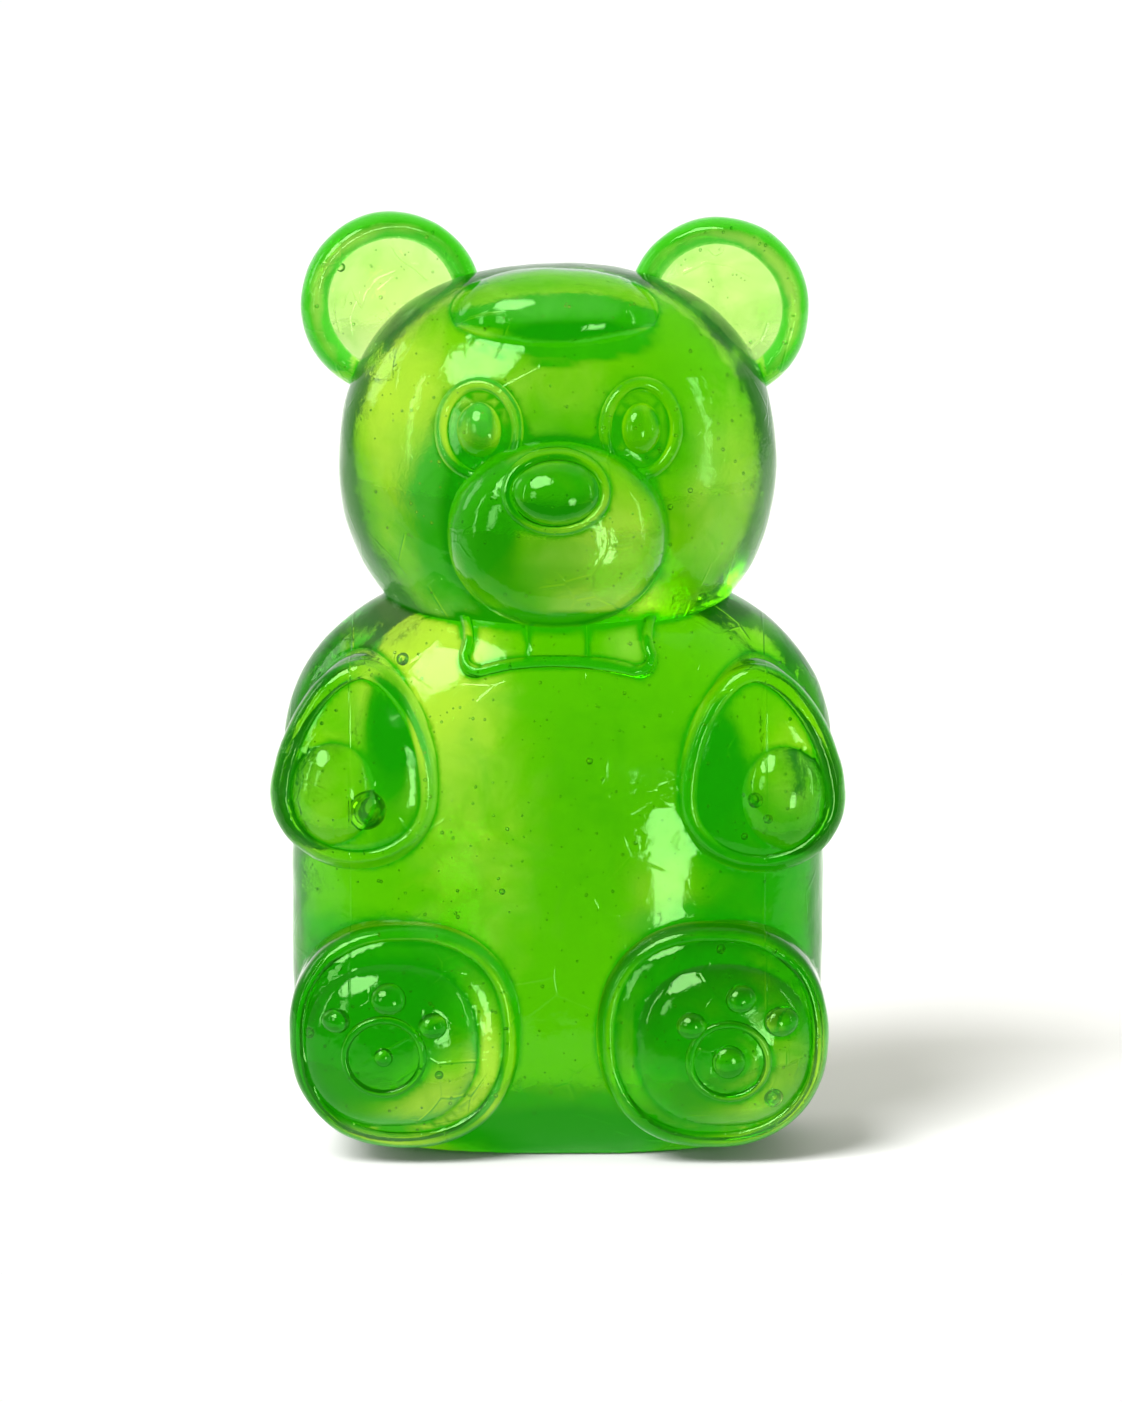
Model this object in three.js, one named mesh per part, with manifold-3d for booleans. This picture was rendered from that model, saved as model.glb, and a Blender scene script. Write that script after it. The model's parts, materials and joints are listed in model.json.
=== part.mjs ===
// A giant moulded jelly bear in one piece, standing on its flat base and facing -Y.
// Millimetres, +Z up. Its left and right differ a little, as in any soft sweet out of a mould.
// A place on the front of the bear is given as [x, z], and the surface below it gives the depth.

import * as THREE from 'three';
import { mergeVertices } from 'three/addons/utils/BufferGeometryUtils.js';
import Module from 'manifold-3d';

const wasm = await Module();
wasm.setup();

// ---- Driving dimensions ----

const BODY_HALF_WIDTH = 69;
const BODY_HALF_DEPTH = 38;
const BODY_MIDDLE = 62;
const BODY_TOP = 144;
const BODY_DROP = 66;

const HEAD_HALF_WIDTH = 56.3;
const HEAD_HALF_DEPTH = 38;
const HEAD_MIDDLE = 175;
const CROWN_HEIGHT = 226;
const CHIN_DROP = 52;

const SHOULDER_HALF_WIDTH = 71.2;
const SHOULDER_HALF_DEPTH = 31;
const SHOULDER_MIDDLE = 98;
const SHOULDER_TOP = 150;
const SHOULDER_DROP = 34;

const MUZZLE_RADII = [27.8, 19, 24.2];
const MUZZLE_DROP = 24;
const FRINGE_RADII = [27.5, 19, 13.6];
const FRINGE_DROP = 10.4;

const EAR_RADIUS = 23.6;
const EAR_RIM = 3.5;
const EAR_RIM_DEPTH = 6.1;
const EAR_LEAF_THICKNESS = 3.4;
const EAR_LEAF_SET_BACK = 1.6;
const EAR_TURN = 0.16;

const ARM_RADII = [20.6, 20, 35.5];
const ARM_DROP = 17.8;
const ARM_LEAN = 0.07;
const PAW_RADII = [14.5, 19, 18];
const SLEEVE_RIM = 2.2;

const LEG_MIDDLE = 33;
const LEG_RADII = [29.4, 34, 28.8];
const SOLE_MIDDLE = 31.4;
const SOLE_RADII = [24.6, 15, 23.2];
const LEG_RIM = 1.9;
const PAD_RADII = [9.9, 9.4];

const BOW_PLACE = [0, 132.4];
const BOW_HALF_WIDTH = 25;
const BOW_HALF_HEIGHT = 9.6;
const BOW_WAIST = 6.8;
const BOW_CORNER = 4.5;
const BOW_SINK = 6;
const BOW_PLATE = 1.4;
const BOW_RIM = 1.5;
const KNOT_SIZE = [15, 12.4, 8];

// How many sides go round a large, a middling and a small rounded piece, and round a cord.
const FINE = 24;
const MEDIUM = 18;
const SMALL = 10;
const CORD_SIDES = 5;

// ---- Rounded solids ----

// A blob is an ellipsoid whose outline may be squarer, with an exponent above 2, or pointed, with one
// below 2: `plan` is the exponent seen from above, `side` the one seen from the front, and `tip` that of
// the upper half. The lower half may have a radius of its own, `below`. A blob with an `edge` faces the
// front like a cushion, and `edge` is the exponent of its rim.
function blob(sizes) {
  const { radii, side = 2 } = sizes;
  return { below: radii[2], plan: 2, side, tip: side, edge: 0, turn: 0, segments: FINE, ...sizes };
}

function cushion(sizes) {
  return blob({ segments: MEDIUM, ...sizes });
}

// The upward radius and exponent of the half of a blob that `rise`, a height over its centre, is in.
function halfOf(shape, rise) {
  return rise > 0 ? [shape.radii[2], shape.tip] : [shape.below, shape.side];
}

// Where [x, z], measured from the centre, would be if the blob stood upright.
function uprightOf(shape, x, z) {
  const cos = Math.cos(shape.turn);
  const sin = Math.sin(shape.turn);
  return [cos * x - sin * z, sin * x + cos * z];
}

// The depth of a blob's front surface over [x, z].
function frontOf(shape, [x, z]) {
  const [across, rise] = uprightOf(shape, x - shape.centre[0], z - shape.centre[2]);
  const [reach, side] = halfOf(shape, rise);
  const u = Math.abs(across) / shape.radii[0];
  const v = Math.min(Math.abs(rise) / reach, 1);
  const power = shape.edge || shape.plan;
  const share = shape.edge
    ? 1 - (u ** side + v ** side) ** (power / side)
    : (1 - v ** side) ** (power / side) - u ** power;
  return shape.centre[1] - shape.radii[1] * Math.max(share, 0) ** (1 / power);
}

// How far a direction has to be shortened to end on a blob of radius 1.
function sizeOf({ edge, plan }, side, [x, y, z]) {
  if (edge) return ((x ** side + z ** side) ** (edge / side) + y ** edge) ** (1 / edge);
  return ((x ** plan + y ** plan) ** (side / plan) + z ** side) ** (1 / side);
}

function solidBlob(shape) {
  const geometry = new THREE.SphereGeometry(1, shape.segments, Math.round(shape.segments * 0.6));
  if (!shape.edge) geometry.rotateX(Math.PI / 2);
  const position = geometry.getAttribute('position');
  const point = new THREE.Vector3();
  for (let i = 0; i < position.count; i++) {
    point.fromBufferAttribute(position, i);
    const [reach, side] = halfOf(shape, point.z);
    point.divideScalar(sizeOf(shape, side, point.toArray().map(Math.abs)));
    position.setXYZ(i, point.x * shape.radii[0], point.y * shape.radii[1], point.z * reach);
  }
  geometry.rotateY(shape.turn);
  geometry.translate(...shape.centre);
  return solidOf(geometry);
}

// A blob's outline seen from the front, at a share of its size, as points about its centre.
function outlineOf(shape, share) {
  return Array.from({ length: shape.segments }, (_, i) => {
    const angle = (2 * Math.PI * i) / shape.segments;
    const [x, z] = [Math.cos(angle), Math.sin(angle)];
    const [reach, side] = halfOf(shape, z);
    const size = (Math.abs(x) ** side + Math.abs(z) ** side) ** (1 / side) / share;
    return uprightOf({ turn: -shape.turn }, (x / size) * shape.radii[0], (z / size) * reach);
  });
}

// ---- From a three.js geometry to a solid and back ----

function solidOf(geometry) {
  const bare = geometry.index ? geometry : geometry.clone();
  bare.deleteAttribute('normal');
  bare.deleteAttribute('uv');
  const merged = mergeVertices(bare, 1e-4);
  return new wasm.Manifold(new wasm.Mesh({
    numProp: 3,
    vertProperties: new Float32Array(merged.getAttribute('position').array),
    triVerts: new Uint32Array(merged.index.array),
  }));
}

function geometryOf(solid) {
  const mesh = solid.getMesh();
  const geometry = new THREE.BufferGeometry();
  geometry.setAttribute('position', new THREE.BufferAttribute(mesh.vertProperties, 3));
  geometry.setIndex(new THREE.BufferAttribute(mesh.triVerts, 1));
  geometry.computeVertexNormals();
  return geometry;
}

// ---- Relief that lies on a surface ----

const SLOPE_STEP = 0.5;

// The direction square to a blob's front surface over [x, z].
function outwardOf(shape, [x, z]) {
  const slopeX = frontOf(shape, [x + SLOPE_STEP, z]) - frontOf(shape, [x - SLOPE_STEP, z]);
  const slopeZ = frontOf(shape, [x, z + SLOPE_STEP]) - frontOf(shape, [x, z - SLOPE_STEP]);
  return new THREE.Vector3(slopeX, -2 * SLOPE_STEP, slopeZ).normalize();
}

// Lays a geometry on the front of a blob, centred on [x, z]. The geometry is drawn flat and faces its
// own +Z, and it is wrapped to the surface, so its outline from the front stays as drawn.
function laidOn(shape, [x, z], geometry, lift = 0) {
  const position = geometry.getAttribute('position');
  const point = new THREE.Vector3();
  for (let i = 0; i < position.count; i++) {
    point.fromBufferAttribute(position, i);
    const place = [x + point.x, z + point.y];
    const outward = outwardOf(shape, place).multiplyScalar(point.z + lift);
    position.setXYZ(i, place[0] + outward.x, frontOf(shape, place) + outward.y, place[1] + outward.z);
  }
  return solidOf(geometry);
}

// A round cord along a closed flat outline.
function cord(outline, thickness) {
  const curve = new THREE.CatmullRomCurve3(outline.map(([x, y]) => new THREE.Vector3(x, y, 0)), true);
  return new THREE.TubeGeometry(curve, outline.length, thickness, CORD_SIDES, true);
}

function ring([width, height], thickness) {
  const geometry = new THREE.TorusGeometry(width, thickness, CORD_SIDES, MEDIUM);
  geometry.scale(1, height / width, 1);
  return geometry;
}

function button([width, height], bulge) {
  const geometry = new THREE.SphereGeometry(1, SMALL, SMALL / 2);
  geometry.scale(width, height, bulge);
  return geometry;
}

// ---- Body, head and muzzle ----

const body = blob({
  centre: [0, 0, BODY_MIDDLE],
  radii: [BODY_HALF_WIDTH, BODY_HALF_DEPTH, BODY_TOP - BODY_MIDDLE],
  below: BODY_DROP,
  plan: 2.4,
  side: 4,
  tip: 3,
});

const shoulders = blob({
  centre: [0, 2, SHOULDER_MIDDLE],
  radii: [SHOULDER_HALF_WIDTH, SHOULDER_HALF_DEPTH, SHOULDER_TOP - SHOULDER_MIDDLE],
  below: SHOULDER_DROP,
  plan: 2.2,
  side: 2.6,
  tip: 2.3,
});

const head = blob({
  centre: [0, 0, HEAD_MIDDLE],
  radii: [HEAD_HALF_WIDTH, HEAD_HALF_DEPTH, CROWN_HEIGHT - HEAD_MIDDLE],
  below: CHIN_DROP,
  plan: 2.1,
  side: 2.15,
  tip: 2.35,
});

const muzzle = cushion({
  centre: [0, -31, 160],
  radii: MUZZLE_RADII,
  below: MUZZLE_DROP,
  side: 2.1,
  edge: 2.8,
});

// The fringe of hair lies over the crown and ends in a thick lip across the brow.
const fringe = cushion({
  centre: [-0.6, -15, 212],
  radii: FRINGE_RADII,
  below: FRINGE_DROP,
  side: 1.8,
  tip: 2.2,
  edge: 2.4,
});

// ---- Ears: a deep round rim about a thin leaf ----

const ears = [
  { centre: [-42.7, 6, 215.4], turn: EAR_TURN },
  { centre: [41.4, 6, 214], turn: -EAR_TURN },
];

function ear({ centre, turn }) {
  const width = EAR_RADIUS - EAR_RIM;
  const rim = new THREE.TorusGeometry(width, EAR_RIM, SMALL, MEDIUM);
  rim.scale(1, 1, EAR_RIM_DEPTH / EAR_RIM);
  const leaf = button([width, width], EAR_LEAF_THICKNESS);
  leaf.translate(0, 0, -EAR_LEAF_SET_BACK);
  return [rim, leaf].map((geometry) => {
    geometry.rotateX(Math.PI / 2);
    geometry.rotateZ(turn);
    geometry.translate(...centre);
    return solidOf(geometry);
  });
}

// ---- Eyes and nose: a raised ring about a button ----

const eyes = [
  { place: [-19.6, 186], rim: [9.6, 11.4], pupil: [5.6, 6.9] },
  { place: [20.8, 186.3], rim: [8.9, 11.2], pupil: [4.8, 6.4] },
];

function eye({ place, rim, pupil }) {
  return [laidOn(head, place, ring(rim, 1.6), 0.5), laidOn(head, place, button(pupil, 3.6), 0.6)];
}

const nose = { place: [-0.4, 171.3], rim: [12.4, 9.3], tip: [11, 7.8] };

function noseOn({ place, rim, tip }) {
  return [laidOn(muzzle, place, ring(rim, 1.4)), laidOn(muzzle, place, button(tip, 4.8))];
}

// ---- Bow tie, half under the chin: flared wings with a rounded rim, and a square strap ----

function bowOutline() {
  const [width, height, corner] = [BOW_HALF_WIDTH, BOW_HALF_HEIGHT, BOW_CORNER];
  const pinch = KNOT_SIZE[0] / 2 + 5;
  const outline = new THREE.Shape();
  outline.moveTo(0, -BOW_WAIST);
  outline.quadraticCurveTo(pinch, -BOW_WAIST, width - corner, -height);
  outline.quadraticCurveTo(width, -height, width, -height + corner);
  outline.quadraticCurveTo(width - corner / 2, 0, width, height - corner);
  outline.quadraticCurveTo(width, height, width - corner, height);
  outline.lineTo(-width + corner, height);
  outline.quadraticCurveTo(-width, height, -width, height - corner);
  outline.quadraticCurveTo(-width + corner / 2, 0, -width, -height + corner);
  outline.quadraticCurveTo(-width, -height, -width + corner, -height);
  outline.quadraticCurveTo(-pinch, -BOW_WAIST, 0, -BOW_WAIST);
  return outline;
}

function bowTie() {
  const outline = bowOutline();
  const plate = new THREE.ExtrudeGeometry(outline, {
    depth: BOW_SINK + BOW_PLATE,
    bevelEnabled: false,
    curveSegments: 3,
  });
  plate.translate(0, 0, -BOW_SINK);
  const inset = outline.getSpacedPoints(MEDIUM).slice(1).map(({ x, y }) => [x * 0.94, y * 0.84]);
  const rim = cord(inset, BOW_RIM);
  const knot = new THREE.BoxGeometry(...KNOT_SIZE, 2, 2, 1);
  knot.translate(0, 1.2, -0.6);
  return [
    laidOn(body, BOW_PLACE, plate),
    laidOn(body, BOW_PLACE, rim, BOW_PLATE - 0.2),
    laidOn(body, BOW_PLACE, knot),
  ];
}

// ---- Arms: a teardrop sleeve with a rounded rim, and a round paw in it ----

const arms = [
  { x: -51.3, z: 93.5, lean: ARM_LEAN, paw: -56.5 },
  { x: 51.7, z: 92.5, lean: -ARM_LEAN, paw: 57 },
];

function arm({ x, z, lean, paw }) {
  const sleeve = cushion({
    centre: [x, -17, z],
    radii: ARM_RADII,
    below: ARM_DROP,
    tip: 1.75,
    edge: 6,
    turn: lean,
  });
  const rim = laidOn(sleeve, [x, z], cord(outlineOf(sleeve, 0.9), SLEEVE_RIM), 0.1);
  const hand = cushion({ centre: [paw, -22, z + 1], radii: PAW_RADII, edge: 2.4 });
  return [solidBlob(sleeve), rim, solidBlob(hand)];
}

// ---- Legs: a rimmed thigh seen from its end, a domed sole, a ringed pad and three toes ----

const legs = [
  {
    x: -38.8,
    sole: -41.6,
    pad: { place: [-44, 29], dot: 2.6 },
    toes: [
      { place: [-55.8, 38.1], size: 3.4 },
      { place: [-42.7, 43.5], size: 4.4 },
      { place: [-31.7, 36.8], size: 3.6 },
    ],
  },
  {
    x: 39.4,
    sole: 41.6,
    pad: { place: [43.3, 27.9], dot: 4.2 },
    toes: [
      { place: [33.8, 37], size: 3.8 },
      { place: [46.3, 43.5], size: 3.9 },
      { place: [56.2, 37.9], size: 4.2 },
    ],
  },
];

function leg({ x, sole, pad, toes }) {
  const thigh = cushion({ centre: [x, -10, LEG_MIDDLE], radii: LEG_RADII, side: 2.3, edge: 7 });
  const dome = cushion({ centre: [sole, -34, SOLE_MIDDLE], radii: SOLE_RADII, side: 2.3, edge: 2.8 });
  return [
    solidBlob(thigh),
    solidBlob(dome),
    laidOn(thigh, [x, LEG_MIDDLE], cord(outlineOf(thigh, 0.915), LEG_RIM)),
    laidOn(dome, pad.place, ring(PAD_RADII, 1.1)),
    laidOn(dome, pad.place, button([pad.dot, pad.dot], 2), 0.4),
    ...toes.map(({ place, size }) => laidOn(dome, place, button([size, size * 0.9], 2.6), 0.7)),
  ];
}

// ---- The bear ----

// The space above the table, which cuts the base flat.
function aboveTable() {
  const span = 1000;
  const block = new THREE.BoxGeometry(span, span, span);
  block.translate(0, 0, span / 2);
  return solidOf(block);
}

// One body, with its base on z = 0 and its box centred on the origin.
function bear() {
  const pieces = [
    ...[body, shoulders, head, muzzle, fringe].map(solidBlob),
    ...ears.flatMap(ear),
    ...eyes.flatMap(eye),
    ...noseOn(nose),
    ...bowTie(),
    ...arms.flatMap(arm),
    ...legs.flatMap(leg),
  ];
  const whole = pieces.reduce((joined, piece) => joined.add(piece)).intersect(aboveTable());
  const geometry = geometryOf(whole);
  geometry.computeBoundingBox();
  const { min, max } = geometry.boundingBox;
  geometry.translate(-(min.x + max.x) / 2, -(min.y + max.y) / 2, 0);
  return geometry;
}

const jelly = new THREE.MeshStandardMaterial({ color: 0x63cc0a, roughness: 0.12, metalness: 0 });
const gummyBear = new THREE.Mesh(bear(), jelly);
gummyBear.name = 'gummy_bear';

const model = new THREE.Group();
model.add(gummyBear);

export default model;
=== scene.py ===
# %% [markdown]
# # A giant jelly bear
# The bear is one piece of clear green gelatine jelly, poured into a mould and turned out. Light goes in
# at the back, bends at every curve, loses its red and blue on the way and comes out green. So the
# lesson has two halves: a closed, smooth solid whose relief is really modelled, because clear jelly
# shows every flaw of a mesh, and a finish that lets light through and tints it by depth.

# %% The frame
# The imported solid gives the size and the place. Everything made here ends inside its box.
import json
import math

import bmesh
import bpy
import numpy as np
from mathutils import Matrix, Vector, bvhtree, kdtree, noise

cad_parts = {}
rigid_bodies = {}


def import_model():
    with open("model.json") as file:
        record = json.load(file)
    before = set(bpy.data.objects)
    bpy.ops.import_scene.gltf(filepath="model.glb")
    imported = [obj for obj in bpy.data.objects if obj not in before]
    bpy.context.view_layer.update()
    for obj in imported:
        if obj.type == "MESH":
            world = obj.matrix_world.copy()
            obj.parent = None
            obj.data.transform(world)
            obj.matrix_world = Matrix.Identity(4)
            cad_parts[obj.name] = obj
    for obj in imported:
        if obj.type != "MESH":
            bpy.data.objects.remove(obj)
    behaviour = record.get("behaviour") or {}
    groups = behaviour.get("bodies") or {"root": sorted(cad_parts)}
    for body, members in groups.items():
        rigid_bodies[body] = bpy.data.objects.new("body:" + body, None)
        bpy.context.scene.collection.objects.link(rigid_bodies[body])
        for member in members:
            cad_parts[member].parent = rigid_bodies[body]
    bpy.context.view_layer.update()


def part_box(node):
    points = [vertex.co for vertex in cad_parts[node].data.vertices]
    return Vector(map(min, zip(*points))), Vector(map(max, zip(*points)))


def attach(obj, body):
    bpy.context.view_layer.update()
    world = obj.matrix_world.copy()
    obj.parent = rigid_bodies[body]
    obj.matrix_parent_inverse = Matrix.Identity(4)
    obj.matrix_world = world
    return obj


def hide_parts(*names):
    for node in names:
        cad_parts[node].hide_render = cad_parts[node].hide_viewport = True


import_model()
CAD_LOW, CAD_HIGH = (np.array(corner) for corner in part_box("gummy_bear"))
MM = 0.001
chance = np.random.default_rng(11)
print("solid, mm:", np.round((CAD_HIGH - CAD_LOW) / MM, 1))

# %% [markdown]
# ## Reading and moving the points of a mesh
# Each primitive is put in as by hand and then given its true curve by a formula. Numpy reads all the
# points at once and writes them back, which is quicker and more exact than pulling at single points.

# %% Small helpers
def pick_only(*chosen):
    """Selects these objects and nothing else, as every operator acts on all that is selected."""
    bpy.ops.object.select_all(action="DESELECT")
    for obj in chosen:
        obj.select_set(True)
    bpy.context.view_layer.objects.active = chosen[0]


def points_of(obj):
    """All points of a mesh, one a row."""
    flat = np.empty(len(obj.data.vertices) * 3)
    obj.data.vertices.foreach_get("co", flat)
    return flat.reshape(-1, 3)


def move_points(obj, points):
    """Puts all points of a mesh where the rows say."""
    obj.data.vertices.foreach_set("co", np.asarray(points).ravel())
    obj.data.update()


def apply_modifier(obj, kind, **settings):
    """Adds a modifier with its settings and applies it."""
    pick_only(obj)
    made = obj.modifiers.new(kind.lower(), kind)
    for key, value in settings.items():
        setattr(made, key, value)
    bpy.ops.object.modifier_apply(modifier=made.name)


# %% [markdown]
# ## Lumps
# A moulded bear is a heap of rounded lumps: belly, head, muzzle, arms and legs. Each could be a sculpted
# ball, but a UV sphere squared up by a formula is exact, quick to change and the same each time. The
# exponent of a circle is 2. Above 2 an outline gets squarer, as a belly does, and below 2 it gets
# pointed, as the top of an arm does. Sizes are in millimetres, with the face towards -Y.

# %% One rounded lump
class Lump:
    """A rounded lump. `below` is the reach under its middle, `plan` the exponent seen from above,
    `side` the one seen from the front and `tip` that of the half over the middle. A lump with an
    `edge` faces the front like a cushion, and `edge` is how square its rim is."""

    def __init__(self, centre, radii, below=None, plan=2.0, side=2.0, tip=None, edge=None, lean=0.0):
        self.centre = np.array(centre, float)
        self.radii = np.array(radii, float)
        self.below = below or radii[2]
        self.plan, self.side, self.tip, self.edge, self.lean = plan, side, tip or side, edge, lean

    def halves(self, rise):
        """The upward reach and the exponent at each height over the middle."""
        return np.where(rise > 0, self.radii[2], self.below), np.where(rise > 0, self.tip, self.side)

    def upright(self, x, z):
        """Where points x, z would be if the lump stood upright round its middle."""
        x, z = x - self.centre[0], z - self.centre[2]
        c, s = math.cos(self.lean), math.sin(self.lean)
        return c * x - s * z, s * x + c * z

    def front(self, x, z):
        """The depth of the front of the lump over x, z."""
        x, z = self.upright(x, z)
        reach, side = self.halves(z)
        across, rise = abs(x) / self.radii[0], np.minimum(abs(z) / reach, 1)
        if self.edge:
            share = 1 - (across**side + rise**side) ** (self.edge / side)
            return self.centre[1] - self.radii[1] * np.maximum(share, 1e-9) ** (1 / self.edge)
        share = (1 - rise**side) ** (self.plan / side) - across**self.plan
        return self.centre[1] - self.radii[1] * np.maximum(share, 1e-9) ** (1 / self.plan)

    def outline(self, share=1.0, steps=180):
        """The outline seen from the front, round the middle, at a share of its size."""
        angle = np.linspace(0, 2 * math.pi, steps, endpoint=False)
        x, z = np.cos(angle), np.sin(angle)
        reach, side = self.halves(z)
        size = (abs(x) ** side + abs(z) ** side) ** (1 / side) / share
        x, z = x / size * self.radii[0], z / size * reach
        c, s = math.cos(self.lean), math.sin(self.lean)
        return np.column_stack([c * x + s * z, c * z - s * x])

    def model(self, name, sides=96):
        """A ball with its points moved out to the curve of the lump, turned by its lean."""
        bpy.ops.object.select_all(action="DESELECT")
        bpy.ops.mesh.primitive_uv_sphere_add(segments=sides, ring_count=sides * 2 // 3, radius=1)
        ball = bpy.context.object
        ball.name = name
        points = points_of(ball)
        x, y, z = abs(points).T
        reach, side = self.halves(points[:, 2])
        if self.edge:
            size = ((x**side + z**side) ** (self.edge / side) + y**self.edge) ** (1 / self.edge)
        else:
            size = ((x**self.plan + y**self.plan) ** (side / self.plan) + z**side) ** (1 / side)
        points *= np.column_stack([self.radii[0] / size, self.radii[1] / size, reach / size])
        c, s = math.cos(self.lean), math.sin(self.lean)
        turn = np.array([[c, 0, s], [0, 1, 0], [-s, 0, c]])
        move_points(ball, (points @ turn.T + self.centre) * MM)
        return ball


# %% [markdown]
# ## Body and head
# The belly and shoulders run into each other softly, so they are kept apart from the lumps that meet at a
# crisp line: head, muzzle and the fringe of hair on the forehead.

# %% Belly, shoulders, head, muzzle and fringe
BELLY = Lump((0, 0, 62), (69, 38, 82), below=66, plan=2.4, side=4, tip=3)
SHOULDERS = Lump((0, 2, 98), (71.2, 31, 52), below=34, plan=2.2, side=2.6, tip=2.3)
HEAD = Lump((0, 0, 175), (56.3, 38, 51), below=52, plan=2.1, side=2.15, tip=2.35)
MUZZLE = Lump((0, -31, 160), (27.8, 19, 24.2), below=24, side=2.1, edge=2.8)
FRINGE = Lump((-0.6, -15, 212), (27.5, 19, 13.6), below=10.4, side=1.8, tip=2.2, edge=2.4)

torso = [BELLY.model("belly", 112), SHOULDERS.model("shoulders")]
lumps = [HEAD.model("head", 128), MUZZLE.model("muzzle"), FRINGE.model("fringe")]
print("lumps so far:", [lump.name for lump in torso + lumps])

# %% [markdown]
# ## Relief
# Eyes, nose, pads, toes, rims and the bow tie are raised from the surface they lie on. Each is drawn
# flat and then wrapped, point by point, on the front of its lump. A cord is a torus led along an
# outline, and a button is a flattened ball.

# %% Wrapping a flat piece on the front of a lump
def outward(lump, x, z, step=0.5):
    """The way the front of a lump faces over x, z, from its slope a small step to each side."""
    slope_x = lump.front(x + step, z) - lump.front(x - step, z)
    slope_z = lump.front(x, z + step) - lump.front(x, z - step)
    way = np.column_stack([slope_x, np.full(len(x), -2 * step), slope_z])
    return way / np.linalg.norm(way, axis=1)[:, None]


def wrap(piece, lump, x, z, lift=0.0):
    """Lays a piece drawn flat in millimetres, facing +Z, on the front of a lump, centred on x, z."""
    flat = points_of(piece)
    across, up = flat[:, 0] + x, flat[:, 1] + z
    ground = np.column_stack([across, lump.front(across, up), up])
    move_points(piece, (ground + outward(lump, across, up) * (flat[:, 2:] + lift)) * MM)
    return piece


def oval(width, height, steps=96):
    """The outline of an ellipse, from its half width and half height."""
    angle = np.linspace(0, 2 * math.pi, steps, endpoint=False)
    return np.column_stack([width * np.cos(angle), height * np.sin(angle)])


def cord(outline, thick, sides=16):
    """A round cord laid along a closed flat outline."""
    count, drawn = len(outline), 0.25
    bpy.ops.object.select_all(action="DESELECT")
    bpy.ops.mesh.primitive_torus_add(major_radius=1, minor_radius=drawn, major_segments=count,
                                     minor_segments=sides)
    x, y, z = points_of(bpy.context.object).T
    step = np.round(np.arctan2(y, x) / (2 * math.pi) * count).astype(int) % count
    along = np.roll(outline, -1, axis=0) - np.roll(outline, 1, axis=0)
    away = np.column_stack([along[:, 1], -along[:, 0]]) / np.linalg.norm(along, axis=1)[:, None]
    flat = outline[step] + away[step] * ((np.hypot(x, y) - 1) / drawn * thick)[:, None]
    move_points(bpy.context.object, np.column_stack([flat, z / drawn * thick]))
    return bpy.context.object


def button(width, height, bulge):
    """A flattened ball lying flat, from its half sizes."""
    bpy.ops.object.select_all(action="DESELECT")
    bpy.ops.mesh.primitive_uv_sphere_add(segments=64, ring_count=32, radius=1,
                                         scale=(width, height, bulge))
    bpy.ops.object.transform_apply()
    return bpy.context.object


# %% [markdown]
# ## Arms and legs
# An arm is a teardrop sleeve with a rounded rim and a paw in it. A leg shows its thigh from the end, a
# rounded square with a rim, and the sole of the foot stands out of it.

# %% Arms
ARMS = [dict(x=-51.3, z=93.5, lean=0.07, paw=-56.5), dict(x=51.7, z=92.5, lean=-0.07, paw=57)]
SLEEVE_RADII, SLEEVE_BELOW, PAW_RADII = (20.6, 20, 35.5), 17.8, (14.5, 19, 18)
SLEEVE_RIM, SLEEVE_RIM_AT = 2.2, 0.9
for number, arm in enumerate(ARMS):
    sleeve = Lump((arm["x"], -17, arm["z"]), SLEEVE_RADII, SLEEVE_BELOW, tip=1.75, edge=6, lean=arm["lean"])
    paw = Lump((arm["paw"], -22, arm["z"] + 1), PAW_RADII, edge=2.4)
    rim = wrap(cord(sleeve.outline(SLEEVE_RIM_AT), SLEEVE_RIM), sleeve, arm["x"], arm["z"], lift=0.1)
    lumps += [sleeve.model(f"sleeve_{number}"), rim, paw.model(f"paw_{number}")]
print("lumps with the arms:", len(lumps))

# %% Legs, pads and toes
LEGS = [
    dict(x=-38.8, sole=-41.6, pad=(-44, 29), dot=2.6,
         toes=[(-55.8, 38.1, 3.4), (-42.7, 43.5, 4.4), (-31.7, 36.8, 3.6)]),
    dict(x=39.4, sole=41.6, pad=(43.3, 27.9), dot=4.2,
         toes=[(33.8, 37, 3.8), (46.3, 43.5, 3.9), (56.2, 37.9, 4.2)]),
]
LEG_MIDDLE, SOLE_MIDDLE, THIGH_RADII, SOLE_RADII = 33, 31.4, (29.4, 34, 28.8), (24.6, 15, 23.2)
THIGH_RIM, THIGH_RIM_AT, PAD_RADII, PAD_CORD = 1.9, 0.915, (9.9, 9.4), 1.1
DOT_BULGE, TOE_BULGE, TOE_HEIGHT = 2, 2.6, 0.9
for number, leg in enumerate(LEGS):
    thigh = Lump((leg["x"], -10, LEG_MIDDLE), THIGH_RADII, side=2.3, edge=7)
    sole = Lump((leg["sole"], -34, SOLE_MIDDLE), SOLE_RADII, side=2.3, edge=2.8)
    rim = wrap(cord(thigh.outline(THIGH_RIM_AT), THIGH_RIM), thigh, leg["x"], LEG_MIDDLE)
    lumps += [thigh.model(f"thigh_{number}", 112), rim, sole.model(f"sole_{number}")]
    lumps.append(wrap(cord(oval(*PAD_RADII), PAD_CORD), sole, *leg["pad"]))
    lumps.append(wrap(button(leg["dot"], leg["dot"], DOT_BULGE), sole, *leg["pad"], lift=0.4))
    for x, z, size in leg["toes"]:
        lumps.append(wrap(button(size, size * TOE_HEIGHT, TOE_BULGE), sole, x, z, lift=0.7))
print("lumps with the legs:", len(lumps))

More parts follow.
